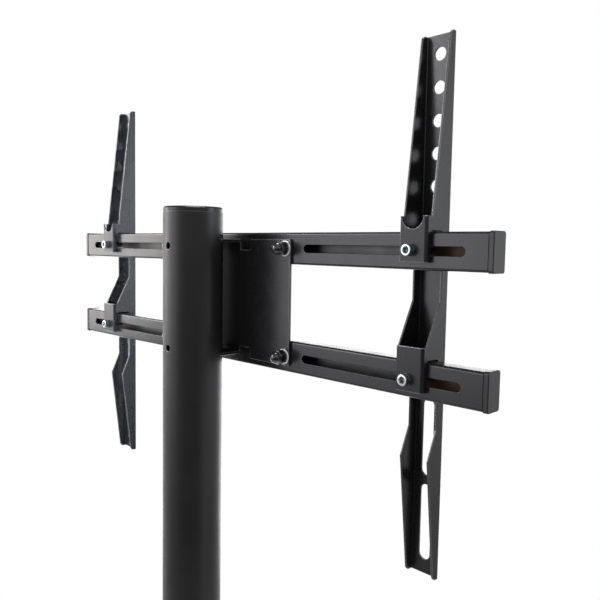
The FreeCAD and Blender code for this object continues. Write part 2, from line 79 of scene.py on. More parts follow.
# %% Camera
CAMERA_PLACE = Vector((-0.5786, 0.4145, 1.3011))
CAMERA_HEADING = math.radians(45.16)
CAMERA_DIP = math.radians(4.53)
CAMERA_ROLL = math.radians(0.98)
SENSOR = 36.0
FOCAL_SHARE = 661.48 / 600.0    # focal length to the width of the picture
NEAREST, FARTHEST = 0.01, 50.0

ahead = Vector((math.sin(CAMERA_HEADING) * math.cos(CAMERA_DIP),
                -math.cos(CAMERA_HEADING) * math.cos(CAMERA_DIP), -math.sin(CAMERA_DIP)))
across = Vector((-math.cos(CAMERA_HEADING), -math.sin(CAMERA_HEADING), 0))
upward = across.cross(ahead)
right = math.cos(CAMERA_ROLL) * across + math.sin(CAMERA_ROLL) * upward
above = math.cos(CAMERA_ROLL) * upward - math.sin(CAMERA_ROLL) * across
lens = bpy.data.cameras.new("camera")
lens.sensor_width = SENSOR
lens.lens = SENSOR * FOCAL_SHARE
lens.clip_start, lens.clip_end = NEAREST, FARTHEST
camera = bpy.data.objects.new("camera", lens)
axes = Matrix((right, above, -ahead)).transposed().to_4x4()
camera.matrix_world = Matrix.Translation(CAMERA_PLACE) @ axes
scene.collection.objects.link(camera)
scene.camera = camera
print("lens:", round(lens.lens, 2), "mm")

# %% [markdown]
# ## Helpers for node trees
# Shaders and Geometry Nodes are both built from nodes joined by links. The first helper adds one node,
# sets its options, and fills its inputs: a socket becomes a link and anything else becomes the input's
# value. The others are short names for the nodes used most.

# %% Node helpers
def add(tree, kind, inputs=None, **options):
    node = tree.nodes.new(kind)
    for key, value in options.items():
        setattr(node, key, value)
    for key, value in (inputs or {}).items():
        if isinstance(value, bpy.types.NodeSocket):
            tree.links.new(value, node.inputs[key])
        else:
            node.inputs[key].default_value = value
    return node


def maths(tree, operation, a, b=0.0):
    return add(tree, "ShaderNodeMath", {0: a, 1: b}, operation=operation).outputs[0]


def dot(tree, vector, other):
    return add(tree, "ShaderNodeVectorMath", {0: vector, 1: other}, operation="DOT_PRODUCT").outputs["Value"]


def mix(tree, factor, a, b):
    """a where the factor is 0, and b where it is 1."""
    return add(tree, "ShaderNodeMix", {"Factor": factor, "A": a, "B": b}).outputs["Result"]


def ramp(tree, value, low, high, to_low, to_high):
    """A value moved from one range to another, held at the ends."""
    inputs = {"Value": value, "From Min": low, "From Max": high, "To Min": to_low, "To Max": to_high}
    return add(tree, "ShaderNodeMapRange", inputs, interpolation_type="SMOOTHSTEP").outputs["Result"]


def blank_material(name):
    material = bpy.data.materials.new(name)
    material.use_nodes = True
    material.node_tree.nodes.clear()
    return material


print("helpers:", [helper.__name__ for helper in (add, maths, dot, mix, ramp, blank_material)])

# %% [markdown]
# ## Studio
# The stand is photographed in a white studio. Black paint shows little colour of its own: what the eye
# sees is the room mirrored in it. So the world is white for the camera, and for reflections it is a room.
# Its walls are white and darken towards the floor, the space behind the camera is dim, and the ceiling is
# dark. Opposite the camera the darkness reaches lower, and there it draws a dark line along the upper
# corners of the rails. A picture of a room could light the scene too, but ramps over the direction are
# easier to read and to change. A ramp is four numbers: where it starts and ends, and its value at the
# start and at the end.

# %% World
TOWARDS_CAMERA = (-0.813, 0.582, 0.0)
EVEN_LIGHT = 0.6                        # what matt surfaces get from all sides
# ramps over the facing: -1 is away from the camera and 1 is towards it
WALL_FOOT = (-0.9, -0.2, 0.85, 0.5)
DARK_OPPOSITE = (-0.7, -0.35, 0.95, 0.0)
NEAR_CAMERA = (-0.15, 0.95, 0.0, 1.0)
# ramps over the height: -1 is straight down, 0 is the horizon and 1 is straight up
WALL_RISE, WALL_WHITE = (-0.4, 0.02), 0.95
WALL_TOP = (0.05, 0.3, 1.0, 0.75)
DARK_ABOVE = (0.2, 0.34, 0.0, 1.0)
CEILING = (0.35, 0.6, 0.0, 0.8)
DIM_ROOM = (-0.04, 0.13, 0.03, 0.7)


def seen_directly(tree):
    """Two switches: on for the camera's own rays, and on for those or for mirrored rays."""
    path = add(tree, "ShaderNodeLightPath").outputs
    mirrored = maths(tree, "MAXIMUM", path["Is Glossy Ray"], path["Is Transmission Ray"])
    return path["Is Camera Ray"], maths(tree, "MAXIMUM", path["Is Camera Ray"], mirrored)


def room_brightness(tree):
    direction = add(tree, "ShaderNodeTexCoord").outputs["Generated"]
    facing = dot(tree, direction, TOWARDS_CAMERA)
    height = add(tree, "ShaderNodeSeparateXYZ", {0: direction}).outputs["Z"]
    rise = ramp(tree, height, *WALL_RISE, ramp(tree, facing, *WALL_FOOT), WALL_WHITE)
    walls = maths(tree, "MULTIPLY", rise, ramp(tree, height, *WALL_TOP))
    opposite = maths(tree, "MULTIPLY", ramp(tree, facing, *DARK_OPPOSITE), ramp(tree, height, *DARK_ABOVE))
    darkness = maths(tree, "MAXIMUM", opposite, ramp(tree, height, *CEILING))
    lit = maths(tree, "MULTIPLY", walls, maths(tree, "SUBTRACT", 1.0, darkness))
    return mix(tree, ramp(tree, facing, *NEAR_CAMERA), lit, ramp(tree, height, *DIM_ROOM))


def light_the_world():
    world = bpy.data.worlds.new("studio")
    scene.world = world
    world.use_nodes = True
    tree = world.node_tree
    tree.nodes.clear()
    camera_ray, shown = seen_directly(tree)
    mirrored = mix(tree, camera_ray, room_brightness(tree), 1.0)
    strength = mix(tree, shown, EVEN_LIGHT, mirrored)
    back = add(tree, "ShaderNodeBackground", {"Color": (1, 1, 1, 1), "Strength": strength})
    add(tree, "ShaderNodeOutputWorld", {"Surface": back.outputs[0]})


light_the_world()
print("world:", len(scene.world.node_tree.nodes), "nodes")

# %% [markdown]
# ## Floor
# The floor is a pale disc. Near the stand it is matt paint that takes the shadow, and further out it runs
# into the white of the background, so that no rim shows. Where it is mirrored it is dim towards the
# camera and brighter behind the stand, which lifts the edges of the lower pole as a real studio floor
# does.

# %% Floor
FLOOR_R, FLOOR_CORNERS = 3.0, 96
FLOOR_PAINT = (0.82, 0.82, 0.82, 1)
FADE = (0.45, 1.5, 0.0, 1.0)            # over the distance from the pole, in metres
# ramps over the distance towards the camera, in metres
BEHIND_STAND = (-1.3, -0.3, 0.85, 0.42)
TO_CAMERA, DIM_FLOOR = (-0.5, 1.5), 0.05


def lay_the_floor():
    bpy.ops.mesh.primitive_circle_add(vertices=FLOOR_CORNERS, radius=FLOOR_R, fill_type="NGON")
    floor = bpy.context.object
    floor.name = "studio_floor"
    material = blank_material("pale_floor")
    tree = material.node_tree
    place = add(tree, "ShaderNodeTexCoord").outputs["Object"]
    reach = add(tree, "ShaderNodeVectorMath", {0: place}, operation="LENGTH").outputs["Value"]
    nearer = dot(tree, place, TOWARDS_CAMERA)
    camera_ray, shown = seen_directly(tree)
    fade = maths(tree, "MULTIPLY", ramp(tree, reach, *FADE), shown)
    mirrored = ramp(tree, nearer, *TO_CAMERA, ramp(tree, nearer, *BEHIND_STAND), DIM_FLOOR)
    paint = add(tree, "ShaderNodeBsdfDiffuse", {"Color": FLOOR_PAINT})
    glow = add(tree, "ShaderNodeEmission", {"Strength": mix(tree, camera_ray, mirrored, 1.0)})
    both = add(tree, "ShaderNodeMixShader", {0: fade, 1: paint.outputs[0], 2: glow.outputs[0]})
    add(tree, "ShaderNodeOutputMaterial", {"Surface": both.outputs[0]})
    floor.data.materials.append(material)
    floor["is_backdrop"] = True


lay_the_floor()
print("floor radius:", FLOOR_R, "m")

# %% [markdown]
# ## Lamps
# Soft boxes do the work. A tall strip stands to the left, where the far half of the rails mirrors it at a
# low angle and turns pale. A broad box beside the camera's left shoulder fills the faces that look
# backwards, and one to the right lights the outer flanges of the arms. A low dim one on the right shows
# in the right half of the pole. A box overhead puts glints on nuts and washers, and a long leaning one
# high on the left draws the thin pale lines along the upper edges. A lit sheet behind the mount is what
# the tops of the rails and the sides of the pole mirror. The last lamp is a narrow beam without a mirror
# image, which reaches the inside of the far arm. An area lamp's brightness is its power divided by its
# area, so the helper takes the brightness and works out the power.

# %% Lamps
ALL_ROUND = math.pi
NARROW = math.radians(28)
LEAN = math.radians(15)
WHITE, WARM, LILAC = (1, 1, 1), (1.0, 0.95, 0.92), (0.93, 0.905, 1.0)
COOL, COLD = (0.84, 0.89, 1.0), (0.74, 0.88, 1.0)


def soft_box(name, place, target, width, height, brightness, tint=WHITE, beam=ALL_ROUND, lean=0.0):
    """An area lamp at a place, turned to a target; lengths are in metres, and brightness 1 is plain white."""
    lamp = bpy.data.lights.new(name, "AREA")
    lamp.shape = "RECTANGLE"
    lamp.size, lamp.size_y = width, height
    lamp.energy = brightness * math.pi * width * height
    lamp.color = tint
    lamp.spread = beam
    box = bpy.data.objects.new(name, lamp)
    box.location = place
    aim = (Vector(target) - Vector(place)).to_track_quat("-Z", "Y")
    box.rotation_euler = (aim @ Quaternion((0, 0, 1), lean)).to_euler()
    box.visible_camera = False
    box.visible_glossy = beam == ALL_ROUND
    scene.collection.objects.link(box)
    return lamp.energy


POWERS = [
    soft_box("strip_left", (1.62, 0.66, 1.75), (0.1, -0.05, 1.75), 0.55, 1.5, 4.5, WARM),
    soft_box("box_left", (1.1, 1.75, 1.56), (0.0, -0.05, 1.56), 1.4, 1.48, 1.68, LILAC),
    soft_box("box_right", (-1.75, -1.25, 1.42), (0.0, -0.05, 1.42), 0.8, 1.0, 2.3, COOL),
    soft_box("fill_right", (-1.75, -0.42, 0.45), (0.0, 0.0, 0.45), 0.75, 0.86, 0.8),
    soft_box("box_top", (0.1, -0.2, 3.2), (0.0, 0.0, 1.2), 0.9, 0.9, 8.0),
    soft_box("box_high_left", (1.35, 1.12, 1.97), (-0.1, -0.05, 1.3), 1.25, 0.4, 8.5, lean=LEAN),
    soft_box("lit_sheet", (1.15, -1.25, 0.875), (0.0, 0.0, 0.875), 2.6, 1.65, 2.6),
    soft_box("beam_right", (-0.12, 0.32, 1.25), (0.251, -0.05, 1.25), 0.05, 0.5, 9.0, COLD, NARROW),
]
print("lamp powers:", [round(power, 2) for power in POWERS], "W")

# %% [markdown]
# ## Powder coat
# The pole, bracket, rails and arms are powder coated: a dry powder is sprayed on and baked into a tough
# satin skin. Close up it has a faint orange peel, and the gloss changes a little from place to place. A
# flat black would look like a hole in the picture, so noise of three sizes drives the colour, the gloss
# and a very small bump. The noise reads Object coordinates, which are metres here, so its scale is a real
# size.

# %% Coated finishes
NOISE_SPAN = (0.3, 0.7)                 # the part of the noise that makes the change
COLOUR_DETAIL, GLOSS_DETAIL, GRAIN_DETAIL = 4.0, 5.0, 2.0
GLOSS_CLOUDS = 3.1                      # clouds of gloss to one cloud of colour
BUMP_STRENGTH = 0.6


def clouds(tree, scale, detail):
    place = add(tree, "ShaderNodeTexCoord").outputs["Object"]
    inputs = {"Vector": place, "Scale": scale, "Detail": detail}
    return add(tree, "ShaderNodeTexNoise", inputs).outputs["Fac"]


def two_tones(tree, factor, dark, light):
    node = add(tree, "ShaderNodeMix", data_type="RGBA")
    for socket in node.inputs:
        if socket.identifier == "Factor_Float":
            tree.links.new(factor, socket)
        elif socket.identifier == "A_Color":
            socket.default_value = (*dark, 1)
        elif socket.identifier == "B_Color":
            socket.default_value = (*light, 1)
    return next(socket for socket in node.outputs if socket.identifier == "Result_Color")


def finish(name, tones, gloss, spread, grain, depth, metallic=0.0, ior=1.5, cloud=12.0):
    """A finish with cloudy colour, uneven gloss and a fine grain.

    The tones are its dark and its light colour, gloss and spread its roughness and how far that changes,
    grain and cloud the bumps and clouds in a metre, and depth the height of the bumps in metres.
    """
    material = blank_material(name)
    tree = material.node_tree
    cloudy = clouds(tree, cloud, COLOUR_DETAIL)
    uneven = clouds(tree, GLOSS_CLOUDS * cloud, GLOSS_DETAIL)
    bumps = {"Height": clouds(tree, grain, GRAIN_DETAIL), "Distance": depth, "Strength": BUMP_STRENGTH}
    skin = add(tree, "ShaderNodeBsdfPrincipled", {
        "Base Color": two_tones(tree, ramp(tree, cloudy, *NOISE_SPAN, 0.0, 1.0), *tones),
        "Roughness": ramp(tree, uneven, *NOISE_SPAN, gloss - spread, gloss + spread),
        "Normal": add(tree, "ShaderNodeBump", bumps).outputs[0], "Metallic": metallic, "IOR": ior})
    add(tree, "ShaderNodeOutputMaterial", {"Surface": skin.outputs[0]})
    return material


COAT_TONES = (0.0098, 0.0098, 0.0108), (0.0115, 0.0115, 0.0127)
# lighter tones for the bevels' faces: a painted highlight along the edges
EDGE_HIGHLIGHT_TONES = (0.05, 0.05, 0.054), (0.075, 0.075, 0.08)
POLE_TONES = (0.009, 0.009, 0.01), (0.0125, 0.0125, 0.0135)
COAT_GRAIN, COAT_PEEL = 700.0, 0.03 * MM
sheet_coat = finish("sheet_powder_coat", COAT_TONES, 0.27, 0.03, COAT_GRAIN, COAT_PEEL)
edge_highlight_coat = finish("edge_coat_painted_highlight", EDGE_HIGHLIGHT_TONES, 0.25, 0.03, COAT_GRAIN, 0.01 * MM, ior=2.1)
pole_coat = finish("pole_powder_coat", POLE_TONES, 0.41, 0.03, 900.0, 0.04 * MM)
print("coats:", sheet_coat.name, edge_highlight_coat.name, pole_coat.name)

# %% [markdown]
# ## A duller coat beside the pole
# Charged powder follows the shortest way to metal and hardly enters a narrow space, so the bracket's coat
# is thin and rough where the pole stands close. The same finish is made once more. Towards the middle its
# roughness rises and its shine falls, which needs no second piece and leaves no seam.

# %% Bracket coat
DULL_AT, DULL_UNTIL = 0.035, 0.055      # distances from the middle plane of the stand, in metres
DULL_GLOSS = 0.5
DULL_SHINE, FULL_SHINE = 0.04, 0.5


def skin_of(material):
    return next(node for node in material.node_tree.nodes if node.type == "BSDF_PRINCIPLED")


def off_middle(tree):
    """Distance from the middle plane of the stand, along X."""
    place = add(tree, "ShaderNodeTexCoord").outputs["Object"]
    return maths(tree, "ABSOLUTE", add(tree, "ShaderNodeSeparateXYZ", {0: place}).outputs["X"])


def dull_towards_pole(material):
    tree, skin = material.node_tree, skin_of(material)
    aside = off_middle(tree)
    rough = skin.inputs["Roughness"].links[0].from_socket
    dull = maths(tree, "MAXIMUM", rough, ramp(tree, aside, DULL_AT, DULL_UNTIL, DULL_GLOSS, 0.0))
    shine = ramp(tree, aside, DULL_AT, DULL_UNTIL, DULL_SHINE, FULL_SHINE)
    tree.links.new(dull, skin.inputs["Roughness"])
    tree.links.new(shine, skin.inputs["Specular IOR Level"])


bracket_coat = finish("bracket_powder_coat", COAT_TONES, 0.27, 0.03, COAT_GRAIN, COAT_PEEL)
dull_towards_pole(bracket_coat)
print("coat:", bracket_coat.name)

# %% [markdown]
# ## The other finishes
# Powder blown through a slot coats the wall behind it, but little of it reaches the ends of a closed
# tube, so there the rails turn to brown bare steel inside. Their end faces, which only show in the seams
# of the end caps, are painted near black as shade. The screws are zinc plated: a bright blue-white metal,
# slightly cloudy. In their sockets a darker, patchy zinc is painted shade. The washers' zinc is milky. The
# acorn nuts are plated black and glossy. The end caps are moulded plastic with a fine spark-eroded
# texture, and the feet are matt rubber. One recipe with other numbers makes them all.

# %% Other finishes
BARE_FROM, BARE_AT = 0.21, 0.3          # distances from the middle of the rail, in metres
BARE_BROWN = (0.095, 0.052, 0.018)
COATED_SHINE, BARE_SHINE = 0.75, 0.2


def bare_towards_ends(material):
    """Lets the coat give way to bare steel along X, away from the middle of the rail."""
    tree, skin = material.node_tree, skin_of(material)
    along = off_middle(tree)
    bare = two_tones(tree, ramp(tree, along, BARE_FROM, BARE_AT, 0.0, 1.0), (0.0, 0.0, 0.0), BARE_BROWN)
    colour = skin.inputs["Base Color"].links[0].from_socket
    both = add(tree, "ShaderNodeVectorMath", {0: colour, 1: bare}, operation="ADD").outputs[0]
    shine = ramp(tree, along, BARE_FROM, BARE_AT, COATED_SHINE, BARE_SHINE)
    tree.links.new(both, skin.inputs["Base Color"])
    tree.links.new(shine, skin.inputs["Specular IOR Level"])


INSIDE_TONES = (0.009, 0.009, 0.0095), (0.0125, 0.0125, 0.013)
# near black for the tube's end faces: painted shade in the seams of the end caps
SEAM_SHADE_TONES = (0.003, 0.003, 0.003), (0.006, 0.006, 0.006)
# darker zinc tones for inside the sockets: painted shade in the recess
SOCKET_SHADE_TONES = (0.06, 0.1, 0.105), (0.45, 0.56, 0.57)
ZINC_TONES = (0.56, 0.6, 0.62), (0.7, 0.73, 0.75)
MILKY_TONES = (0.7, 0.75, 0.8), (0.84, 0.87, 0.91)
PLATE_TONES = (0.008, 0.008, 0.009), (0.014, 0.014, 0.016)
PLASTIC_TONES = (0.013, 0.013, 0.014), (0.018, 0.018, 0.019)
RUBBER_TONES = (0.014, 0.014, 0.014), (0.024, 0.023, 0.022)
STEEL = {"grain": 500.0, "depth": 0.05 * MM}
ZINC = {"grain": 1500.0, "depth": 0.02 * MM}
bare_steel = finish("tube_inside", INSIDE_TONES, 0.42, 0.05, **STEEL)
bare_towards_ends(bare_steel)
# painted shade: a near-black matt finish for the tube's ends in the end caps' seams
seam_shade_steel = finish("tube_end_painted_shade", SEAM_SHADE_TONES, 0.7, 0.05, **STEEL, ior=1.2)
# painted shade: a darker, patchy zinc for the insides of the screws' sockets
socket_shade_zinc = finish("socket_zinc_painted_shade", SOCKET_SHADE_TONES, 0.36, 0.08, **ZINC, metallic=0.6, cloud=520.0)
zinc = finish("zinc_plate", ZINC_TONES, 0.3, 0.05, **ZINC, metallic=1.0, cloud=160.0)
milky_zinc = finish("washer_zinc", MILKY_TONES, 0.34, 0.05, **ZINC, metallic=0.35, cloud=160.0)
black_plate = finish("black_plate", PLATE_TONES, 0.13, 0.03, 900.0, 0.01 * MM, ior=1.8)
plastic = finish("moulded_plastic", PLASTIC_TONES, 0.31, 0.03, 1600.0, 0.04 * MM, ior=1.46)
rubber = finish("foot_rubber", RUBBER_TONES, 0.75, 0.06, 800.0, 0.1 * MM)
made = (bare_steel, seam_shade_steel, socket_shade_zinc, zinc, milky_zinc, black_plate, plastic, rubber)
print("finishes:", [material.name for material in made])

# %% [markdown]
# ## Finishes on the solids that stay as they are
# Each solid belongs to a material slot of the record. Most solids have the right shape already, so they
# only get their finish.

# %% Dress the solids
FINISH_OF_SLOT = {"powder_coat_black": sheet_coat, "zinc_steel": zinc, "fastener_black": black_plate,
                  "plastic_black": plastic, "rubber_black": rubber}
SLOT_OF = {p["node"]: p["material_slot"] for p in frame["record"]["subparts"]}


def dress(node, material):
    solids[node].data.materials.clear()
    solids[node].data.materials.append(material)


for node in solids:
    dress(node, FINISH_OF_SLOT[SLOT_OF[node]])
dress("pole_tube", pole_coat)
dress("mount_bracket", bracket_coat)
print("dressed:", len(solids))

# %% [markdown]
# ## Softened edges
# A laser-cut sheet has crisp edges, but the baked coat flows round them, so every edge ends in a small
# radius that catches the lamps as a thin pale line. The solids have sharp edges. A bevel node in the
# shader could fake the line, yet only real geometry also reaches the mesh that others use. So these
# pieces are copies of the solids: their triangles are merged back into flat faces, and a bevel rounds
# every sharp edge. The bevel's own faces get a lighter, glossier coat, which is a painted highlight along
# the edges; powder also draws back from edges as it melts. It gathers in hollow corners, so those keep the
# full coat without the painted highlight.

# %% Soften the sheet edges
WELD = 0.002 * MM                       # points closer than this are one point
FLAT = math.radians(0.5)                # triangles flatter than this are one face
SHARP_EDGE = math.radians(35)           # edges sharper than this get rounded
ROUNDING_STEPS = 3
FULL_COAT, EDGE_HIGHLIGHT = 0, 1             # material numbers of a softened piece


def plain_mesh(builder):
    """The evaluated mesh of an object that still has modifiers, with the object itself removed."""
    evaluated = builder.evaluated_get(bpy.context.evaluated_depsgraph_get())
    mesh = bpy.data.meshes.new_from_object(evaluated)
    bpy.data.objects.remove(builder)
    return mesh


def place_piece(name, mesh, body, slot, *replaced):
    piece = bpy.data.objects.new(name, mesh)
    scene.collection.objects.link(piece)
    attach(piece, body)
    if replaced:
        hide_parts(*replaced)
    return piece


def thick_in_corners(mesh):
    """Hollow corners, where a bevel face's neighbours rise above it, get the full coat, not the painted
    highlight.
    """
    probe = bmesh.new()
    probe.from_mesh(mesh)
    for face in probe.faces:
        middle = face.calc_center_median()
        around = [other for edge in face.edges for other in edge.link_faces if other is not face]
        rise = sum((other.calc_center_median() - middle).dot(face.normal) for other in around)
        if face.material_index == EDGE_HIGHLIGHT and rise > 0:
            mesh.polygons[face.index].material_index = FULL_COAT
    probe.free()
    return mesh


def softened(node, radius):
    mesh = solids[node].data.copy()
    cleaner = bmesh.new()
    cleaner.from_mesh(mesh)
    bmesh.ops.remove_doubles(cleaner, verts=cleaner.verts, dist=WELD)
    bmesh.ops.dissolve_limit(cleaner, angle_limit=FLAT, verts=cleaner.verts, edges=cleaner.edges)
    cleaner.to_mesh(mesh)
    cleaner.free()
    builder = bpy.data.objects.new("softening", mesh)
    scene.collection.objects.link(builder)
    bevel = builder.modifiers.new("coat", "BEVEL")
    bevel.width = radius
    bevel.segments = ROUNDING_STEPS
    bevel.limit_method = "ANGLE"
    bevel.angle_limit = SHARP_EDGE
    bevel.use_clamp_overlap = False
    # the bevels' faces get the lighter coat, a painted highlight along the edges
    mesh.materials.append(edge_highlight_coat)
    bevel.material = EDGE_HIGHLIGHT
    mesh.shade_smooth()
    even = builder.modifiers.new("even", "WEIGHTED_NORMAL")
    even.keep_sharp = True
    return thick_in_corners(plain_mesh(builder))


BODY_OF = {node: body for body, members in frame["record"]["behaviour"]["bodies"].items() for node in members}
SOFT_EDGES = {"arm_left": 0.65 * MM, "arm_right": 0.65 * MM, "mount_bracket": 0.8 * MM,
              "upper_rail": 0.35 * MM, "lower_rail": 0.35 * MM, "pole_tube": 0.5 * MM}
coated = {}
for node, radius in SOFT_EDGES.items():
    mesh = softened(node, radius)
    coated[node] = place_piece(f"coated_{node}", mesh, BODY_OF[node], "powder_coat_black", node)
    print(node, len(mesh.polygons), "faces")

# %% [markdown]
# ## Bare steel inside the rails
# The rails' slots let the eye reach the inner walls, which turn bare towards the ends. A copy of a rail's
# mesh knows nothing of inside and outside, but its inner faces lie within the tube's box less most of the
# wall, so their middles tell them apart. The tube's end faces only show in the seams of the end caps,
# where they are painted near black as shade. Both get a material of their own in the same piece.

# %% Bare the inside of the rails
RAIL_WALL = 1.5 * MM
INNER_REACH = 0.9 * RAIL_WALL           # faces deeper than this are inside
SEAM_SHADE_REACH = 0.4 * MM                    # faces closer than this to the tube's ends are its sawn ends


def box_of(node):
    """Lowest and highest corner of a solid."""
    corners = [vertex.co for vertex in solids[node].data.vertices]
    return (Vector(tuple(min(c[i] for c in corners) for i in range(3))),
            Vector(tuple(max(c[i] for c in corners) for i in range(3))))


def bare_inside(node):
    rail = coated[node].data
    low, high = box_of(node)
    rail.materials.append(bare_steel)
    rail.materials.append(seam_shade_steel)
    last = len(rail.materials) - 1
    count = 0
    for face in rail.polygons:
        inside = all(low[i] + INNER_REACH < face.center[i] < high[i] - INNER_REACH for i in (1, 2))
        # the tube's end faces get the painted seam shade
        ends = not low.x + SEAM_SHADE_REACH < face.center.x < high.x - SEAM_SHADE_REACH
        if inside or ends:
            face.material_index = last if ends else last - 1
            count += 1
    return count


print("bare faces:", [bare_inside(node) for node in ("upper_rail", "lower_rail")])

# %% [markdown]
# ## A thin coat on the tabs
# In the coating line the arms hang on hooks by their tabs, so there the coat is thinner and reflects
# less. The backs of the tabs are the rearmost faces of an arm, which is how they are found.

# %% Thin the coat on the tabs
REARMOST = 0.1 * MM
STRAIGHT = 0.99                         # how squarely a face has to look along an axis
thin_coat = finish("tab_powder_coat", COAT_TONES, 0.29, 0.03, COAT_GRAIN, COAT_PEEL, ior=1.41)


def thin_on_tabs(node):
    mesh = coated[node].data
    rear = box_of(node)[1].y
    mesh.materials.append(thin_coat)
    backs = [face for face in mesh.polygons if face.normal.y > STRAIGHT and face.center.y > rear - REARMOST]
    for face in backs:
        face.material_index = len(mesh.materials) - 1
    return round(sum(face.area for face in backs) / MM ** 2)


print("backs of the tabs:", [thin_on_tabs(node) for node in ("arm_left", "arm_right")], "mm2")

# %% [markdown]
# ## A lathe made of nodes
# Screws, nuts and washers come off a lathe: a flat blank is the half section, and turning it round an
# axis gives the shape. The nodes do the same: they lay out a grid and bend it round the axis with the
# blank's radius and height in each row. A blank is a row of points whose X, Y and Z hold the radius, the
# kind and the height. The kind says how the point's ring is worked: it stays round, is pressed to a
# hexagon, is knurled or is threaded. Boolean cuts would also give sockets and flats, but a formula keeps
# the rings clean.

# %% Lathe nodes
ROUND, HEXAGON, KNURL, THREAD = 0, 1, 2, 3
SEAM = 0.0005 * MM                      # points closer than this are joined where the grid closes
SECTOR = math.tau / 6                   # one flat of a hexagon


def lathe_grid(tree, columns, rows):
    """A grid whose last column will meet its first, with each point's row and its angle round the axis."""
    sizes = {"Vertices X": maths(tree, "ADD", columns, 1.0), "Vertices Y": rows}
    grid = add(tree, "GeometryNodeMeshGrid", sizes).outputs["Mesh"]
    index = add(tree, "GeometryNodeInputIndex").outputs[0]
    column = maths(tree, "FLOOR", maths(tree, "DIVIDE", index, rows))
    angle = maths(tree, "MULTIPLY", maths(tree, "DIVIDE", column, columns), math.tau)
    return grid, maths(tree, "MODULO", index, rows), angle


def worked_radius(tree, given, radius, kind, height, angle):
    """The radius after its ring is worked, and after the flats have cut it."""
    sector = maths(tree, "SUBTRACT", maths(tree, "MODULO", angle, SECTOR), SECTOR / 2)
    stretch = maths(tree, "DIVIDE", 1.0, maths(tree, "COSINE", sector))
    groove = maths(tree, "COSINE", maths(tree, "MULTIPLY", angle, given["Knurls"]))
    groove = maths(tree, "MULTIPLY", ramp(tree, groove, -1.0, 1.0, 0.0, 1.0), given["Knurl depth"])
    climb = maths(tree, "DIVIDE", height, given["Pitch"])
    turns = maths(tree, "SUBTRACT", climb, maths(tree, "DIVIDE", angle, math.tau))
    flank = maths(tree, "MULTIPLY", maths(tree, "PINGPONG", turns, 0.5), 2.0)
    worked = {HEXAGON: maths(tree, "MULTIPLY", radius, stretch),
              KNURL: maths(tree, "SUBTRACT", radius, groove),
              THREAD: maths(tree, "SUBTRACT", radius, maths(tree, "MULTIPLY", flank, given["Thread depth"]))}
    for number, ring in worked.items():
        compared = {0: kind, 1: float(number), 2: 0.5}
        chosen = add(tree, "ShaderNodeMath", compared, operation="COMPARE").outputs[0]
        radius = mix(tree, chosen, radius, ring)
    flats = maths(tree, "MULTIPLY", maths(tree, "MULTIPLY", given["Flats"], 0.5), stretch)
    return maths(tree, "MINIMUM", radius, flats)


def bend_round(tree, grid, radius, angle, height):
    x = maths(tree, "MULTIPLY", radius, maths(tree, "COSINE", angle))
    y = maths(tree, "MULTIPLY", radius, maths(tree, "SINE", angle))
    place = add(tree, "ShaderNodeCombineXYZ", {"X": x, "Y": y, "Z": height}).outputs[0]
    bent = add(tree, "GeometryNodeSetPosition", {"Geometry": grid, "Position": place}).outputs[0]
    return add(tree, "GeometryNodeMergeByDistance", {"Geometry": bent, "Distance": SEAM}).outputs[0]


print("kinds of ring: round", ROUND, "hexagon", HEXAGON, "knurl", KNURL, "thread", THREAD)

# %% [markdown]
# ## A tree that sets fasteners
# A fitter puts one fastener on every seat and leaves each in its own turn. The tree reads a blank, turns
# it on the lathe, sets a copy on every seat, and spins each copy by chance. The seed keeps the chance the
# same in every run. Copies could be placed one by one, but a tree with named inputs serves all the kinds.

# %% Fastener tree
INPUTS = [("Blank", "Object"), ("Columns", "Int"), ("Flats", "Float"), ("Knurls", "Int"),
          ("Knurl depth", "Float"), ("Pitch", "Float"), ("Thread depth", "Float"), ("Turn", "Vector"),
          ("Seed", "Int"), ("Material", "Material")]


def new_tree(name, sockets):
    tree = bpy.data.node_groups.new(name, "GeometryNodeTree")
    for title, kind in [("Geometry", "Geometry"), *sockets]:
        tree.interface.new_socket(name=title, in_out="INPUT", socket_type=f"NodeSocket{kind}")
    tree.interface.new_socket(name="Geometry", in_out="OUTPUT", socket_type="NodeSocketGeometry")
    return tree, add(tree, "NodeGroupInput").outputs


def set_on_seats(tree, given, turned):
    spin = add(tree, "FunctionNodeRandomValue", {2: 0.0, 3: math.tau, "Seed": given["Seed"]}).outputs[1]
    lean = add(tree, "FunctionNodeEulerToRotation", {0: given["Turn"]}).outputs[0]
    own = add(tree, "FunctionNodeAxisAngleToRotation", {"Axis": (0, 0, 1), "Angle": spin}).outputs[0]
    turn = add(tree, "FunctionNodeRotateRotation", {0: lean, 1: own}, rotation_space="LOCAL").outputs[0]
    seated = {"Points": given["Geometry"], "Instance": turned, "Rotation": turn}
    placed = add(tree, "GeometryNodeInstanceOnPoints", seated).outputs[0]
    return add(tree, "GeometryNodeRealizeInstances", {0: placed}).outputs[0]


def fastener_tree():
    tree, given = new_tree("turned_fastener", INPUTS)
    blank = add(tree, "GeometryNodeObjectInfo", {"Object": given["Blank"]}).outputs["Geometry"]
    rows = add(tree, "GeometryNodeAttributeDomainSize", {"Geometry": blank}).outputs["Point Count"]
    grid, row, angle = lathe_grid(tree, given["Columns"], rows)
    spot = add(tree, "GeometryNodeInputPosition").outputs[0]
    sample = add(tree, "GeometryNodeSampleIndex", {"Geometry": blank, "Value": spot, "Index": row},
                 data_type="FLOAT_VECTOR").outputs[0]
    radius, kind, height = add(tree, "ShaderNodeSeparateXYZ", {0: sample}).outputs
    worked = worked_radius(tree, given, radius, kind, height, angle)
    real = set_on_seats(tree, given, bend_round(tree, grid, worked, angle, height))
    done = add(tree, "GeometryNodeSetMaterial", {"Geometry": real, "Material": given["Material"]}).outputs[0]
    add(tree, "NodeGroupOutput", {0: done})
    return tree


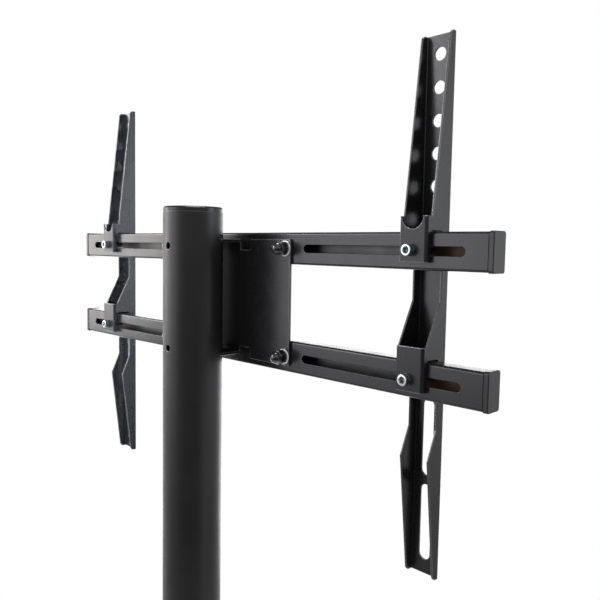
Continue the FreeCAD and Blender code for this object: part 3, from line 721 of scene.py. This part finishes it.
fastener = fastener_tree()
print("fastener tree:", len(fastener.nodes), "nodes")

# %% [markdown]
# ## Running the tree
# A helper puts the seats into a mesh of loose points, hangs the tree on it, fills the tree's inputs by
# their identifiers and keeps only the plain mesh. Edges that bend by more than 30 degrees stay sharp.

# %% Fastener helper
SHARP_TURN = math.radians(30)
KNURL_DEPTH, THREAD_DEPTH = 0.18 * MM, 0.5 * MM
UNCUT = 1.0                             # flats a metre apart cut nothing
TO_REAR = (math.radians(-90), 0, 0)
TO_FRONT = (math.radians(90), 0, 0)
UPRIGHT = (0, 0, 0)


def loose_points(name, points):
    mesh = bpy.data.meshes.new(name)
    mesh.from_pydata([Vector(p) for p in points], [], [])
    spots = bpy.data.objects.new(name, mesh)
    scene.collection.objects.link(spots)
    return spots


def run_tree(tree, builder, values):
    work = builder.modifiers.new("work", "NODES")
    work.node_group = tree
    identifiers = {item.name: item.identifier for item in tree.interface.items_tree if item.in_out == "INPUT"}
    for name, value in values.items():
        work[identifiers[name]] = value
    mesh = plain_mesh(builder)
    mesh.shade_smooth()
    mesh.set_sharp_from_angle(angle=SHARP_TURN)
    return mesh


def turn_fasteners(blank, seats, turn, material, columns=48, flats=UNCUT, knurls=0, pitch=1.0, seed=1):
    """One mesh with a fastener on every seat; blank points are (radius, height, kind) in millimetres."""
    profile = loose_points("blank", [(r * MM, kind, h * MM) for r, h, kind in blank])
    values = {"Blank": profile, "Columns": columns, "Flats": flats, "Knurls": knurls,
              "Knurl depth": KNURL_DEPTH, "Pitch": pitch, "Thread depth": THREAD_DEPTH, "Turn": turn,
              "Seed": seed, "Material": material}
    mesh = run_tree(fastener, loose_points("seats", seats), values)
    bpy.data.objects.remove(profile)
    return mesh


print("knurls:", KNURL_DEPTH / MM, "mm deep, threads:", THREAD_DEPTH / MM, "mm deep")

# %% [markdown]
# ## Clamp screws
# A socket screw through each tab presses on the rail. Its head is knurled for the fingers, and the
# hexagon socket has a small entry slope. The thread shows when the screw is backed out, so it is a real
# helix. The screws move by themselves, so each is a piece of its own, in the place of its solid.

# %% Clamp screws
SCREW_R, SCREW_HEAD_R, SCREW_HEAD_H, SCREW_KEY, SCREW_PITCH = 3.0, 5.0, 6.0, 5.0, 1.0
SCREW_COLUMNS, SCREW_KNURLS, FIRST_SCREW_SEED = 144, 36, 11
TIP_SHARE, TIP_SLOPE = 0.72, 0.8        # radius of the tip to the shank's, and height of its slope
PLAIN_LENGTH = 1.0                      # shank without thread, at the tip and under the head together
ROWS_IN_TURN = 6                        # of the thread
MOUTH_SHARE, MOUTH_SLOPE = 0.66, 0.14   # radius and depth of the socket's entry slope to the key
SOCKET_SHARE, DRILL_SLOPE = 0.6, 0.2    # depth of the socket to the head, and of its drilled end to the key


def socket_screw(shank_r, length, head_r, head_h, key, pitch=0.0):
    """Half section from the tip to the bottom of the socket, in millimetres, with the seat at height 0."""
    tip = [(0, -length, ROUND), (TIP_SHARE * shank_r, -length, ROUND)]
    rows = max(2, round(ROWS_IN_TURN * (length - PLAIN_LENGTH) / pitch)) if pitch else 2
    kind, run = THREAD if pitch else ROUND, length - PLAIN_LENGTH
    shank = [(shank_r, -length + TIP_SLOPE + run * i / (rows - 1), kind) for i in range(rows)]
    neck = [(shank_r, -0.1, ROUND), (shank_r, 0, ROUND), (0.9 * head_r, 0, ROUND),
            (head_r - 0.05, 0.25, ROUND)]
    grip = [(head_r, 0.4, KNURL), (head_r, 0.45 * head_h, KNURL), (head_r, head_h - 0.9, KNURL)]
    crown = [(head_r - 0.06, head_h - 0.7, ROUND), (head_r - 0.14, head_h - 0.3, ROUND),
             (head_r - 0.45, head_h - 0.07, ROUND), (head_r - 0.8, head_h, ROUND)]
    bottom = head_h - SOCKET_SHARE * head_h
    socket = [(MOUTH_SHARE * key, head_h, ROUND), (0.5 * key, head_h - MOUTH_SLOPE * key, HEXAGON),
              (0.5 * key, bottom, HEXAGON), (0, bottom - DRILL_SLOPE * key, ROUND)]
    return tip + shank + neck + grip + crown + socket


# The inside of the socket gets the darker zinc, as painted shade in the recess.
def paint_socket_shade(mesh, seat):
    mesh.materials.append(socket_shade_zinc)
    last = len(mesh.materials) - 1
    mouth = MOUTH_SHARE * SCREW_KEY * MM
    for face in mesh.polygons:
        aside = math.hypot(face.center.x - seat.x, face.center.z - seat.z)
        if face.center.y > seat.y + MM and aside < mouth and face.normal.y < STRAIGHT:
            face.material_index = last


for number, node in enumerate(n for n in solids if n.startswith("clamp_screw_")):
    low, high = box_of(node)
    middle = (low + high) / 2
    length = (high.y - low.y) / MM - SCREW_HEAD_H
    blank = socket_screw(SCREW_R, length, SCREW_HEAD_R, SCREW_HEAD_H, SCREW_KEY, SCREW_PITCH)
    seat = (middle.x, high.y - SCREW_HEAD_H * MM, middle.z)
    mesh = turn_fasteners(blank, [seat], TO_REAR, zinc, columns=SCREW_COLUMNS, knurls=SCREW_KNURLS,
                          pitch=SCREW_PITCH * MM, seed=FIRST_SCREW_SEED + number)
    paint_socket_shade(mesh, Vector(seat))
    place_piece(f"socket_{node}", mesh, node, "zinc_steel", node)
    print(node, len(mesh.polygons), "faces")

# %% [markdown]
# ## Half sections of nuts and washers
# The rail bolts end in acorn nuts: a hexagon with a dome, so that no thread scratches a hand or a cable.
# A zinc washer with a rolled edge lies under each. The nuts behind the tabs are plain ones, welded on.
# The nuts' half sections are round, and the tree's flats cut the hexagons, which leaves the curved
# chamfers that real nuts have at their corners.

# %% Nuts and washers in section
ACORN_ACROSS, ACORN_HEXAGON, ACORN_TALL = 13.0, 8.0, 15.0
ACORN_DOME, ACORN_BORE, ACORN_DEPTH = 6.1, 4.03, 12.0
WASHER_R, WASHER_THICK, WASHER_BORE, WASHER_RIM = 8.0, 1.6, 4.2, 0.8
TAB_NUT_ACROSS, TAB_NUT_TALL, TAB_NUT_BORE = 10.0, 4.0, 3.05
ARC_STEPS = 13


def acorn_nut():
    corner = ACORN_ACROSS / math.sqrt(3)
    flat, top = ACORN_ACROSS / 2, ACORN_HEXAGON
    straight = ACORN_TALL - ACORN_DOME
    inside = [(0, ACORN_DEPTH, ROUND), (ACORN_BORE, ACORN_DEPTH, ROUND), (ACORN_BORE, 0.3, ROUND),
              (ACORN_BORE + 0.3, 0, ROUND)]
    body = [(corner - 0.9, 0, ROUND), (corner, 0.5, ROUND), (corner, top - 1.0, ROUND),
            (flat + 0.05, top - 0.05, ROUND), (flat - 0.15, top, ROUND),
            (ACORN_DOME + 0.06, top + 0.12, ROUND), (ACORN_DOME, top + 0.35, ROUND)]
    arc = [math.radians(7.5 * i) for i in range(ARC_STEPS)]
    dome = [(ACORN_DOME * max(math.cos(a), 0.0), straight + ACORN_DOME * math.sin(a), ROUND) for a in arc]
    return inside + body + dome


def washer():
    arc = [math.radians(15 * i - 90) for i in range(ARC_STEPS)]
    waist = WASHER_R - WASHER_RIM
    rolled = [(waist + WASHER_RIM * math.cos(a), WASHER_RIM + WASHER_RIM * math.sin(a), ROUND) for a in arc]
    lower = [(WASHER_BORE, 0.15, ROUND), (WASHER_BORE + 0.15, 0, ROUND)]
    upper = [(WASHER_BORE + 0.15, WASHER_THICK, ROUND), (WASHER_BORE, WASHER_THICK - 0.15, ROUND)]
    return lower + rolled + upper + lower[:1]


def tab_nut():
    corner, entry = TAB_NUT_ACROSS / math.sqrt(3), TAB_NUT_BORE + 0.3
    outside = [(entry, 0, ROUND), (corner - 0.7, 0, ROUND), (corner, 0.4, ROUND),
               (corner, TAB_NUT_TALL - 0.4, ROUND), (corner - 0.7, TAB_NUT_TALL, ROUND)]
    bore = [(entry, TAB_NUT_TALL, ROUND), (TAB_NUT_BORE, TAB_NUT_TALL - 0.3, ROUND),
            (TAB_NUT_BORE, 0.3, ROUND)]
    return outside + bore + outside[:1]


print("points: acorn nut", len(acorn_nut()), "washer", len(washer()), "tab nut", len(tab_nut()))

# %% [markdown]
# ## Nuts, washers and foot bolts in place
# Each fastener sits where its solid sits, so the seats are read from the solids' boxes. Four larger
# socket bolts hold the foot ring. The pieces of one kind never move apart, so each kind is one mesh for
# its body.

# %% Nuts, washers and foot bolts
REAR, FRONT, TOP = (1, True), (1, False), (2, True)    # an axis, and whether its high end is meant
FOOT_HEAD_H = 10.0
FOOT_BOLT = {"shank_r": 5.0, "length": 16.0, "head_r": 8.0, "head_h": FOOT_HEAD_H, "key": 8.0}


def nodes_of(prefix):
    return sorted(n for n in solids if n.startswith(prefix))


def seats_of(prefix, side, inset=0.0):
    """Seats of the solids whose names start with the prefix: the middles of their faces on that side."""
    axis, end = side
    places = []
    for node in nodes_of(prefix):
        low, high = box_of(node)
        middle = (low + high) / 2
        middle[axis] = (high if end else low)[axis] - inset
        places.append(middle)
    return places


acorns = turn_fasteners(acorn_nut(), seats_of("acorn_nut", FRONT), TO_REAR, black_plate,
                        flats=ACORN_ACROSS * MM, seed=3)
place_piece("acorn_nuts", acorns, "stand", "fastener_black", *nodes_of("acorn_nut"))
washers = turn_fasteners(washer(), seats_of("rail_washer", FRONT), TO_REAR, milky_zinc, columns=72, seed=4)
place_piece("rail_washers", washers, "stand", "zinc_steel", *nodes_of("rail_washer"))
foot_bolts = turn_fasteners(socket_screw(**FOOT_BOLT), seats_of("ring_bolt", TOP, FOOT_HEAD_H * MM), UPRIGHT,
                            black_plate, columns=192, knurls=48, seed=5)
place_piece("foot_bolts", foot_bolts, "stand", "fastener_black", *nodes_of("ring_bolt"))
print("acorn nuts:", len(acorns.polygons), "washers:", len(washers.polygons),
      "foot bolts:", len(foot_bolts.polygons), "faces")
for side in ("left", "right"):
    names = [f"clamp_nut_upper_{side}", f"clamp_nut_lower_{side}"]
    seats = [seat for name in names for seat in seats_of(name, REAR)]
    nuts = turn_fasteners(tab_nut(), seats, TO_FRONT, sheet_coat, flats=TAB_NUT_ACROSS * MM, seed=6)
    place_piece(f"tab_nuts_{side}", nuts, f"arm_{side}", "powder_coat_black", *names)
    print("tab nuts", side, len(nuts.polygons), "faces")

# %% [markdown]
# ## Size and finish
# The looks must not change the size of the stand, so the box round everything shown is printed at the end.

# %% Finish
low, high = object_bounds()
print("visual box:", [round(v, 4) for v in high - low])
